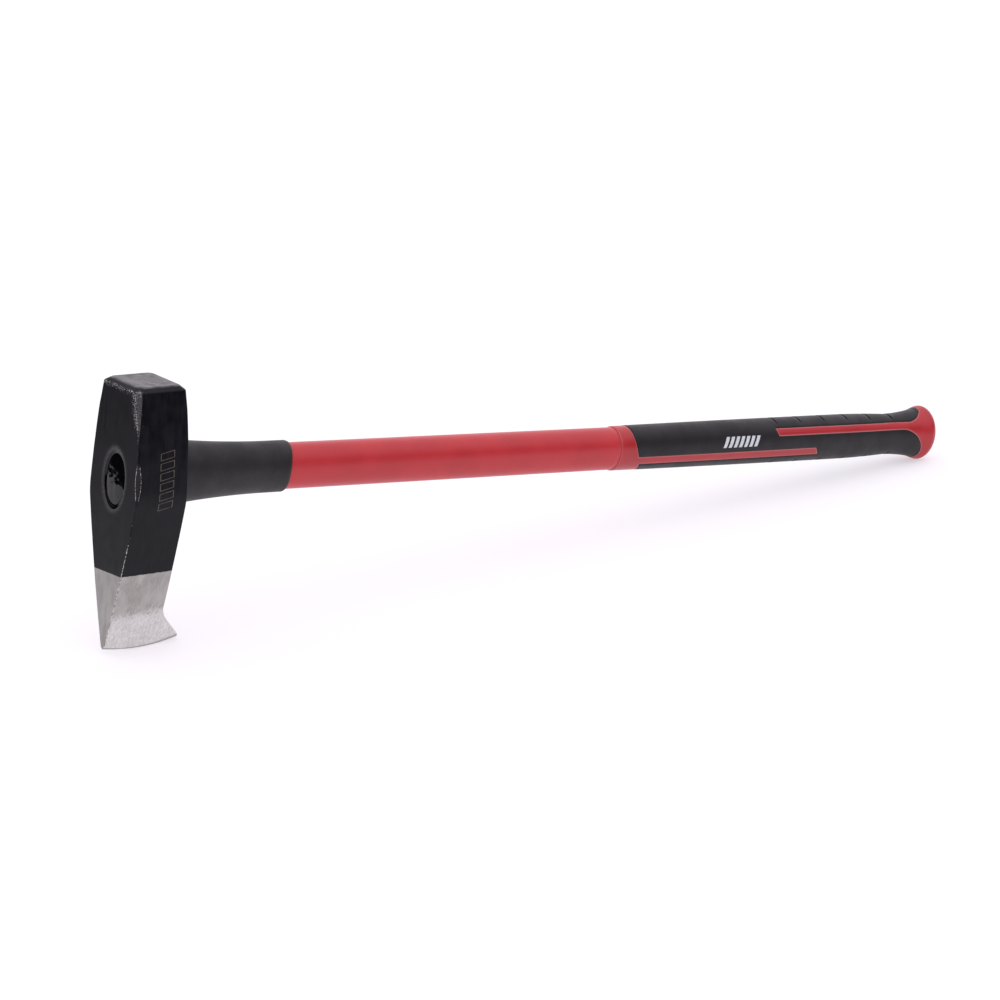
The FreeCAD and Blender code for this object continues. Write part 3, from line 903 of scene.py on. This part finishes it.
def stitch(top, offset):
    """Side walls between matching open edges of a patch and its copy, offset numbers on."""
    return [(b, a, a + offset, b + offset) for a, b in top]


def make_grip(red_material, soft_material):
    """The hard red part with a sunken bed for the panels, and the panels that lie in it."""
    skin = Skin()
    paths = panel_paths(skin)
    flat, triangles = unrolled_mesh(skin, paths)
    centres = flat[np.array(triangles)].mean(1)
    border = np.vstack([paths[0], paths[1]])
    soft = inside(centres, border)
    gap = border_distance(flat, paths)
    groove = groove_relief(flat, skin)
    soft_relief = PANEL_CROWN - 0.47 * np.exp(-((gap / 0.33) ** 2)) + groove
    red_relief = -0.35 * np.exp(-((gap / 0.42) ** 2))
    soft_faces = [t for t, s in zip(triangles, soft) if s]
    red_faces = [t for t, s in zip(triangles, soft) if not s]

    top, top_faces = two_sides(skin, flat, soft_relief, soft_faces)
    low, low_faces = two_sides(skin, flat, np.full(len(flat), -PANEL_DEPTH), soft_faces)
    count = len(top)
    faces = top_faces + [tuple(i + count for i in reversed(f)) for f in low_faces]
    faces += stitch(open_edges(top_faces), count)
    panel = make_piece("soft_panels", np.vstack([top, low]), faces, soft_material, "soft_grip", 50)
    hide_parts("grip_overmould")

    shell, shell_faces = two_sides(skin, flat, red_relief, red_faces)
    bed, bed_faces = two_sides(skin, flat, np.full(len(flat), -PANEL_DEPTH - 0.1), soft_faces)
    points = Points()
    points.add(shell)
    points.add(bed)
    faces = shell_faces + [tuple(i + len(shell) for i in f) for f in bed_faces]
    faces += bed_walls(shell, bed, bed_faces, len(shell))
    faces += bore(points, shell)
    # Painted highlight: the edge layer gives pale lines along the red part's borders and round the
    # collar's front rim.
    edge = np.zeros(len(points.places))
    edge[:len(shell)] = shell_edge_glint(skin, flat, gap, red_faces)
    sleeve = make_piece("red_grip", points.places, faces, red_material, "red_grip", 50,
                        edge=edge)
    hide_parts("grip_sleeve")
    return skin


def shell_edge_glint(skin, flat, gap, faces):
    """How much the red part's edges are lightened as a painted highlight, in the order in which
    two_sides has them.
    """
    used = sorted({i for t in faces for i in t})
    bright = np.exp(-((gap[used] / 0.4) ** 2))
    front = np.exp(-((flat[used][:, 0] / 1.1) ** 4))
    bright = np.maximum(bright, 0.4 * front)
    return np.concatenate([bright, bright[~skin.on_seam(flat[used])]])


def bed_walls(shell, bed, bed_faces, offset):
    """Walls from the bed's rim up to the shell's nearest points, which lie straight above."""
    tree = kdtree.KDTree(len(shell))
    for i, place in enumerate(shell):
        tree.insert(place, i)
    tree.balance()
    faces = []
    for a, b in open_edges(bed_faces):
        above = []
        for i in (a, b):
            x, y, z = bed[i]
            radius = math.hypot(y / OVAL, z)
            lift = (radius + PANEL_DEPTH - 0.2) / radius
            above.append(tree.find((x, y * lift, z * lift))[1])
        faces.append((b + offset, a + offset, above[0], above[1]))
    return faces


def bore(points, shell):
    """The front end of the collar and the bore for spigot and core."""
    rim = [i for i in range(len(shell)) if shell[i][0] < GRIP_LINE[0][0] + 1e-4]
    turn = np.array([math.atan2(-shell[i][1] / OVAL, shell[i][2]) for i in rim])
    order = np.argsort(turn)
    rim = [rim[i] for i in order]
    angles = turn[order]
    rings = [rim]
    for station, radius in ((GRIP_LINE[0][0], SPIGOT_RADIUS), (SPIGOT_END, SPIGOT_RADIUS),
                            (SPIGOT_END, CORE_RADIUS), (CORE_END, CORE_RADIUS)):
        rings.append(points.add(oval_ring(station + 0 * angles, radius, angles)))
    faces = bands(rings[::-1])
    faces.append(tuple(rings[-1]))
    return faces


# ------------------------------------------------------------------ marks

ETCH_HEIGHTS = (-22.0, 21.5)
ETCH_SPAN = (19.2, 31.2)
ETCH_COUNT = 6
ETCH_GAP = 2.0
ETCH_LINE = 0.55
ETCH_RELIEF = 0.06
PRINT_SPAN = (604.0, 649.0)
PRINT_HEIGHTS = (-1.6, 7.4)
PRINT_COUNT = 7
PRINT_GAP = 2.4
PRINT_RELIEF = 0.05
MARK_LEAN = 0.45


def slanted_bars(span, heights, count, gap, lean):
    """Corners of evenly spaced slanted bars that stand side by side across a span."""
    width = (span[1] - span[0] - abs(lean) - gap * (count - 1)) / count
    low, high = heights
    bars = []
    for number in range(count):
        left = span[0] + number * (width + gap)
        bars.append(np.array([(left, low), (left + width, low),
                              (left + width + lean, high), (left + lean, high)]))
    return bars


def between(corners, across, up):
    """Point of a four-sided shape at shares of its two directions."""
    low = corners[0] + (corners[1] - corners[0]) * across
    high = corners[3] + (corners[2] - corners[3]) * across
    return low + (high - low) * up


def add_ring_bar(points, surface, corners, line, thickness):
    """A closed slanted frame: an outline of the given line width on a surface."""
    middle = corners.mean(0)
    edge = []
    for one, two in zip(corners, np.roll(corners, -1, axis=0)):
        edge += [one + (two - one) * k / 6 for k in range(6)]
    outer = np.array(edge)
    size = np.ptp(corners, axis=0)
    inner = middle + (outer - middle) * (1 - 2 * line / size)
    rings = [points.add(surface(shape, lift)) for shape, lift in
             ((outer, thickness), (inner, thickness), (inner, -thickness), (outer, -thickness))]
    return bands(rings + [rings[0]])


def add_full_bar(points, surface, corners, thickness, cells=(5, 8)):
    """A closed slanted bar with a top, a bottom and walls on a surface."""
    columns, rows = cells
    grid = np.array([between(corners, i / columns, j / rows)
                     for j in range(rows + 1) for i in range(columns + 1)])
    top = points.add(surface(grid, thickness))
    low = points.add(surface(grid, -thickness))
    stride = columns + 1
    faces = []
    for j in range(rows):
        for i in range(columns):
            a = j * stride + i
            quad = (a, a + 1, a + stride + 1, a + stride)
            faces.append(tuple(top[k] for k in quad))
            faces.append(tuple(low[k] for k in reversed(quad)))
    rim = list(range(stride)) + [j * stride + columns for j in range(1, rows + 1)]
    rim += [rows * stride + i for i in range(columns - 1, -1, -1)]
    rim += [j * stride for j in range(rows - 1, 0, -1)]
    for a, b in zip(rim, rim[1:] + rim[:1]):
        faces.append((low[a], low[b], top[b], top[a]))
    return faces


def make_cheek_mark(material):
    """A column of outlined slanted bars etched in the near cheek."""
    def surface(shape, lift):
        up, along = shape.T
        side = -half_width(up)
        spots = forge(np.column_stack([along, side, up]))
        spots[:, 1] -= lift
        return spots

    points = Points()
    faces = []
    for corners in slanted_bars(ETCH_HEIGHTS, ETCH_SPAN, ETCH_COUNT, ETCH_GAP, MARK_LEAN * 6):
        faces += add_ring_bar(points, surface, corners, ETCH_LINE, ETCH_RELIEF)
    make_piece("cheek_mark", points.places, faces, material, "head_steel")


def make_grip_mark(skin, material):
    """A row of printed slanted bars on the near side's soft panel."""
    def surface(shape, lift):
        return skin.raised(skin.flat(shape[:, 0], shape[:, 1]), PANEL_CROWN + lift, -1)

    points = Points()
    faces = []
    bars = slanted_bars(PRINT_SPAN, PRINT_HEIGHTS, PRINT_COUNT, PRINT_GAP, MARK_LEAN * 9)
    for corners in bars:
        faces += add_full_bar(points, surface, corners, PRINT_RELIEF)
    make_piece("grip_mark", points.places, faces, material, "soft_grip")


# ------------------------------------------------------------------ materials


class Graph:
    """Short calls for a material's or the world's nodes. Lengths in an object are metres."""

    def __init__(self, owner, shader, coordinates):
        owner.use_nodes = True
        self.nodes = owner.node_tree.nodes
        self.links = owner.node_tree.links
        self.shader = self.nodes[shader]
        self.source = self.nodes.new("ShaderNodeTexCoord")
        self.place = self.source.outputs[coordinates]

    def add(self, kind, *values, **settings):
        """A node with its settings, and its inputs in order; None leaves an input as it is."""
        node = self.nodes.new("ShaderNode" + kind)
        for name, value in settings.items():
            setattr(node, name, value)
        for socket, value in zip(node.inputs, values):
            self.put(socket, value)
        return node

    def put(self, socket, value):
        if isinstance(value, bpy.types.NodeSocket):
            self.links.new(value, socket)
        elif value is not None:
            socket.default_value = value

    def set(self, **inputs):
        for name, value in inputs.items():
            self.put(self.shader.inputs[name.replace("_", " ")], value)

    def math(self, operation, one, two=None, clamp=False):
        return self.add("Math", one, two, operation=operation, use_clamp=clamp).outputs[0]

    def fit(self, value, low, high, to_low=0.0, to_high=1.0):
        node = self.add("MapRange", value, low, high, to_low, to_high,
                        interpolation_type="SMOOTHSTEP")
        return node.outputs["Result"]

    def mix(self, share, one, two):
        """Colours mixed by a share."""
        node = self.add("Mix", share, data_type="RGBA")
        self.put(node.inputs[6], one)
        self.put(node.inputs[7], two)
        return node.outputs[2]

    def blend(self, share, one, two):
        """Numbers mixed by a share."""
        return self.add("Mix", share, None, one, two).outputs[0]

    def stretched(self, lengths, lean=0.0):
        """Coordinates drawn out along X, Y and Z, turned first by a lean towards the butt."""
        node = self.add("Mapping", self.place, vector_type="TEXTURE")
        node.inputs["Rotation"].default_value = (0, math.radians(lean), 0)
        node.inputs["Scale"].default_value = lengths
        return node.outputs[0]

    def noise(self, scale, detail=2.0, place=None, roughness=0.5):
        node = self.add("TexNoise", place or self.place)
        node.inputs["Scale"].default_value = scale
        node.inputs["Detail"].default_value = detail
        node.inputs["Roughness"].default_value = roughness
        return node.outputs["Fac"]

    def axis(self, letter, vector=None):
        return self.add("SeparateXYZ", vector or self.place).outputs[letter]

    def layer(self, name):
        return self.add("Attribute", attribute_name=name).outputs["Fac"]

    def bump(self, height, distance, strength=1.0, normal=None):
        node = self.add("Bump")
        for name, value in (("Height", height), ("Distance", distance),
                            ("Strength", strength), ("Normal", normal)):
            self.put(node.inputs[name], value)
        return node.outputs[0]


class Finish(Graph):
    """The nodes of a new material."""

    def __init__(self, name, specular=None):
        self.material = bpy.data.materials.new(name)
        super().__init__(self.material, "Principled BSDF", "Object")
        if specular is not None:
            self.shader.inputs["Specular IOR Level"].default_value = specular


def colour(red, green, blue):
    """An sRGB colour from 0 to 255 as linear RGBA."""
    def linear(value):
        value /= 255
        return value / 12.92 if value <= 0.04045 else ((value + 0.055) / 1.055) ** 2.4
    return (linear(red), linear(green), linear(blue), 1.0)


PAINT_LINE = (-70.4, 0.055, 0.02)
HONED_LINE = (-103.0, 0.13)


def head_material():
    """Black lacquer over forged steel, ground bright below the paint line."""
    g = Finish("lacquered_forging", 0.2)
    along, across, height = (g.axis(letter) for letter in "XYZ")
    level, rise, tilt = PAINT_LINE
    drift = g.math("ADD", g.math("MULTIPLY", along, rise), g.math("MULTIPLY", across, tilt))
    waver = g.math("MULTIPLY", g.math("SUBTRACT", g.noise(500, 3), 0.5), 0.0009)
    line = g.math("SUBTRACT", g.math("ADD", height, waver), drift)
    painted = g.fit(line, (level - 0.2) * MM, (level + 0.15) * MM)
    slant = g.math("ADD", g.math("MULTIPLY", along, POLL_SLANT),
                   g.math("MULTIPLY", across, POLL_TWIST))
    top = POLL_HEIGHT + float(poll_lean(0.0, 0.0))
    poll = g.fit(g.math("SUBTRACT", height, slant), (top - 1.1) * MM, (top - 0.4) * MM)

    # chips, and rubbed places; on the eye's rim the rubbed grey is also a painted highlight
    chip = g.noise(900, 4, roughness=0.75)
    lost = g.math("ADD", chip, g.math("MULTIPLY", g.layer("wear"), 0.5))
    bare = g.fit(lost, 0.86, 0.92)
    lacquer = g.math("MULTIPLY", painted, g.math("SUBTRACT", 1.0, bare), clamp=True)
    scuff = g.noise(700, 4, roughness=0.8)
    rubbed = g.math("MULTIPLY", g.layer("rub"), g.fit(scuff, 0.25, 0.75, 0.55, 1.0), clamp=True)

    # ground steel: even above, with slanting bright strokes on the cheeks' lower part
    strokes = g.noise(1300, 3, g.stretched((1, 1, 14), 18), 0.6)
    fine = g.noise(800, 3, g.stretched((1, 1, 26), 4), 0.6)
    smudge = g.noise(110, 4, g.stretched((1, 1, 3), 10), 0.6)
    start, slope = HONED_LINE
    ragged = g.math("MULTIPLY", g.math("SUBTRACT", strokes, 0.5), 0.03)
    edge = g.math("SUBTRACT", g.math("ADD", height, ragged), g.math("MULTIPLY", along, slope))
    low = g.math("SUBTRACT", 1.0, g.fit(edge, (start - 2.5) * MM, (start + 2.5) * MM))
    facing = g.axis("Y", g.source.outputs["Normal"])
    cheek = g.fit(g.math("ABSOLUTE", facing), 0.75, 0.9)
    honed = g.math("MULTIPLY", low, cheek)
    even = g.mix(g.fit(smudge, 0.36, 0.62), colour(156, 153, 150), colour(178, 175, 173))
    even = g.mix(g.math("MULTIPLY", g.fit(fine, 0.35, 0.7), 0.45), even, colour(191, 187, 184))
    bright = g.mix(g.fit(g.blend(0.2, strokes, smudge), 0.3, 0.7),
                   colour(195, 192, 191), colour(233, 230, 229))
    steel = g.mix(honed, even, bright)
    # Where the wear layer is high, bare steel is mixed to stain, brown below the paint line and
    # grey above, and in patches to near-white; the near-white broken line along the near-front edge
    # is a painted highlight.
    burr_and_glint = g.math("MULTIPLY", g.layer("wear"), g.fit(chip, 0.35, 0.6), clamp=True)
    stain_and_glint = g.mix(painted, colour(128, 114, 104), colour(170, 168, 172))
    stain_and_glint = g.mix(g.fit(g.noise(420, 3), 0.45, 0.6), stain_and_glint, colour(226, 222, 224))
    steel = g.mix(burr_and_glint, steel, stain_and_glint)

    brushed = g.noise(360, 3, g.stretched((1, 1, 16), 3), 0.6)
    cast = g.math("ADD", g.math("MULTIPLY", g.noise(60, 3), 0.45),
                  g.math("MULTIPLY", brushed, 0.55))
    tint = g.mix(g.fit(cast, 0.38, 0.64), colour(3, 3, 9), colour(15, 14, 22))
    # Rubbed places go grey: worn lacquer on the corner facet, and on the eye's rim also a painted
    # highlight.
    tint = g.mix(rubbed, tint, g.mix(scuff, colour(52, 51, 55), colour(104, 102, 106)))
    patch = g.noise(150, 5, g.stretched((1, 2, 1)), 0.6)
    struck = g.mix(g.fit(patch, 0.4, 0.6), colour(68, 64, 67), colour(92, 89, 93))
    tint = g.mix(poll, tint, struck)
    g.set(Base_Color=g.mix(lacquer, steel, tint))
    g.set(Metallic=g.math("MULTIPLY", g.math("SUBTRACT", 1.0, lacquer), 0.9))
    paint_rough = g.fit(g.blend(0.5, g.noise(140, 4), brushed), 0.35, 0.65, 0.3, 0.46)
    paint_rough = g.math("ADD", paint_rough, g.math("MULTIPLY", rubbed, 0.25))
    steel_rough = g.fit(fine, 0.3, 0.7, 0.42, 0.54)
    g.set(Roughness=g.blend(lacquer, steel_rough, paint_rough))
    peel = g.bump(g.noise(700, 2), 0.00004, 0.5)
    dents = g.bump(g.noise(260, 3), 0.00025, poll, peel)
    grind = g.bump(g.blend(honed, fine, strokes), 0.00005,
                   g.math("SUBTRACT", 1.0, lacquer), dents)
    g.set(Normal=g.bump(lacquer, 0.0001, 0.8, grind))
    return g.material


def plastic_material(name, dark, light, rough, specular=0.4):
    """Extruded or moulded red plastic: faint lengthwise draw marks, a satin gloss and painted
    highlights: the edge layer lightens edges towards pale pink.
    """
    g = Finish(name, specular)
    draw = g.noise(260, 1, g.stretched((60, 1, 1)))
    cloud = g.noise(38, 3)
    grain = g.noise(1600, 2)
    tint = g.mix(g.fit(cloud, 0.3, 0.7), dark, light)
    # Painted highlight: the edge layer lightens the red part's borders towards pale pink.
    white = g.math("MULTIPLY", g.layer("edge"), 0.5)
    g.set(Base_Color=g.mix(white, tint, colour(226, 168, 170)))
    uneven = g.math("ADD", g.math("MULTIPLY", draw, 0.5), g.math("MULTIPLY", cloud, 0.5))
    g.set(Roughness=g.fit(uneven, 0.35, 0.65, rough - 0.03, rough + 0.03))
    fine = g.bump(grain, 0.00003, 0.5)
    g.set(Normal=g.bump(draw, 0.000015, 0.5, fine))
    return g.material


def rubber_material(name, dark, light, rough, grain_scale, depth):
    """Soft black rubber: a dusty, slightly blotchy surface with a fine moulded grain."""
    g = Finish(name, 0.34)
    cloud = g.noise(55, 4, roughness=0.6)
    grain = g.noise(grain_scale, 3, roughness=0.6)
    pores = g.noise(grain_scale * 2.7, 2)
    g.set(Base_Color=g.mix(g.fit(cloud, 0.32, 0.68), dark, light))
    g.set(Roughness=g.fit(cloud, 0.3, 0.7, rough + 0.04, rough - 0.04))
    coarse = g.bump(grain, depth, 0.6)
    g.set(Normal=g.bump(pores, depth * 0.4, 0.5, coarse))
    return g.material


def resin_material():
    """Poured black resin: deep, glossy, with faint ripples."""
    g = Finish("cast_resin", 0.32)
    ripple = g.noise(120, 2)
    g.set(Base_Color=g.mix(ripple, colour(2, 2, 3), colour(5, 5, 7)))
    g.set(Roughness=g.fit(g.noise(300, 2), 0.3, 0.7, 0.05, 0.09))
    g.set(Normal=g.bump(ripple, 0.00003, 0.4))
    return g.material


def mark_material(name, dark, light, rough):
    """Thin print or etching, a little uneven."""
    g = Finish(name)
    wear = g.noise(900, 4, roughness=0.7)
    g.set(Base_Color=g.mix(g.fit(wear, 0.3, 0.7), dark, light))
    g.set(Roughness=g.fit(wear, 0.3, 0.7, rough - 0.05, rough + 0.05))
    return g.material


# ------------------------------------------------------------------ scene

LIGHT_TINT = (1.0, 0.965, 1.02)
ROOM_GLOW = 0.02
FLOOR_GLOW = 0.5
OVERHEAD_GLOW = 1.1
OVERHEAD_FADE = (0.12, 0.5)
BACKDROP_GLOW = 1.25
BACKDROP_FADE = (0.45, 0.8)
SEEN_GLOW = 1.1
SUN_ENERGY = 0.5
SUN_ANGLE = 70
SUN_TURNS = (20, -14, 0)
FLOOR_RADIUS = 1.5
FLOOR_FRONT = -0.75
CAMERA_AZIMUTH = -41.70
CAMERA_ELEVATION = 14.715
CAMERA_DISTANCE = 2.36345
CAMERA_AIM = (370.5, 0.0, -36.9)
CAMERA_LENS = 108.0
CAMERA_SENSOR = 36.0


def give(node, material):
    """A CAD node's own mesh with a finished material."""
    item = frame["nodes"][node]
    if item.material_slots:
        item.material_slots[0].material = material
    else:
        item.data.materials.append(material)


def make_floor(material):
    """A pale lit table, round at the back and sides and cut off a little way in front."""
    turns = np.linspace(0, 2 * math.pi, 96, endpoint=False)
    rim = np.column_stack([np.cos(turns), np.sin(turns), 0 * turns]) * FLOOR_RADIUS
    rim[:, 1] = np.maximum(rim[:, 1], FLOOR_FRONT)
    mesh = bpy.data.meshes.new("floor")
    mesh.from_pydata(rim.tolist(), [], [tuple(range(len(rim)))])
    mesh.materials.append(material)
    floor = bpy.data.objects.new("floor", mesh)
    bpy.context.scene.collection.objects.link(floor)


def floor_material():
    """Matt white that glows a little, so that shadows on it stay light."""
    g = Finish("pale_floor", 0.1)
    cloud = g.noise(0.8, 2)
    g.set(Base_Color=g.mix(cloud, (0.49, 0.49, 0.495, 1), (0.51, 0.51, 0.515, 1)))
    g.set(Roughness=0.9, Emission_Color=(*LIGHT_TINT, 1), Emission_Strength=FLOOR_GLOW)
    return g.material


def make_lights():
    """White light from above and a white backdrop behind; the room in front is dim."""
    world = bpy.data.worlds.new("studio")
    bpy.context.scene.world = world
    g = Graph(world, "Background", "Generated")
    azimuth = math.radians(CAMERA_AZIMUTH)
    away = (-math.sin(azimuth), math.cos(azimuth), 0)
    behind = g.add("VectorMath", g.place, away, operation="DOT_PRODUCT").outputs["Value"]
    glow = g.math("MAXIMUM", g.fit(g.axis("Z"), *OVERHEAD_FADE, ROOM_GLOW, OVERHEAD_GLOW),
                  g.fit(behind, *BACKDROP_FADE, ROOM_GLOW, BACKDROP_GLOW))
    seen = g.add("LightPath").outputs["Is Camera Ray"]
    g.set(Strength=g.blend(seen, glow, SEEN_GLOW), Color=(*LIGHT_TINT, 1))
    data = bpy.data.lights.new("overhead", "SUN")
    data.energy = SUN_ENERGY
    data.color = LIGHT_TINT
    data.angle = math.radians(SUN_ANGLE)
    lamp = bpy.data.objects.new("overhead", data)
    bpy.context.scene.collection.objects.link(lamp)
    lamp.rotation_euler = [math.radians(turn) for turn in SUN_TURNS]
    bpy.context.scene.view_settings.view_transform = "Standard"


def make_camera():
    data = bpy.data.cameras.new("camera")
    data.lens = CAMERA_LENS
    data.sensor_width = CAMERA_SENSOR
    camera = bpy.data.objects.new("camera", data)
    bpy.context.scene.collection.objects.link(camera)
    azimuth = math.radians(CAMERA_AZIMUTH)
    elevation = math.radians(CAMERA_ELEVATION)
    outward = Vector((math.sin(azimuth) * math.cos(elevation),
                      -math.cos(azimuth) * math.cos(elevation), math.sin(elevation)))
    camera.location = MAUL @ (Vector(CAMERA_AIM) * MM) + outward * CAMERA_DISTANCE
    camera.rotation_euler = (math.pi / 2 - elevation, 0.0, azimuth)
    bpy.context.scene.camera = camera


make_camera()
make_lights()
make_floor(floor_material())
make_head(head_material())
red = plastic_material("red_shell", colour(185, 46, 53), colour(194, 50, 57), 0.35)
deep_red = plastic_material("red_grip_shell", colour(171, 33, 41), colour(180, 37, 45), 0.33, 0.5)
rubber = rubber_material("guard_rubber", colour(26, 25, 27), colour(38, 36, 38), 0.5, 900, 0.00005)
soft = rubber_material("soft_panel", colour(18, 15, 19), colour(27, 24, 29), 0.48, 1500, 0.00004)
make_jacket(red)
make_guard(rubber)
grip_skin = make_grip(deep_red, soft)
make_resin(resin_material())
make_cheek_mark(mark_material("etched_line", colour(74, 66, 62), colour(106, 95, 88), 0.5))
make_grip_mark(grip_skin, mark_material("white_print", colour(196, 200, 208),
                                        colour(226, 228, 232), 0.5))
give("eye_dam", rubber)
give("core_rod", plastic_material("glass_fibre", colour(196, 186, 146), colour(214, 204, 166), 0.5))
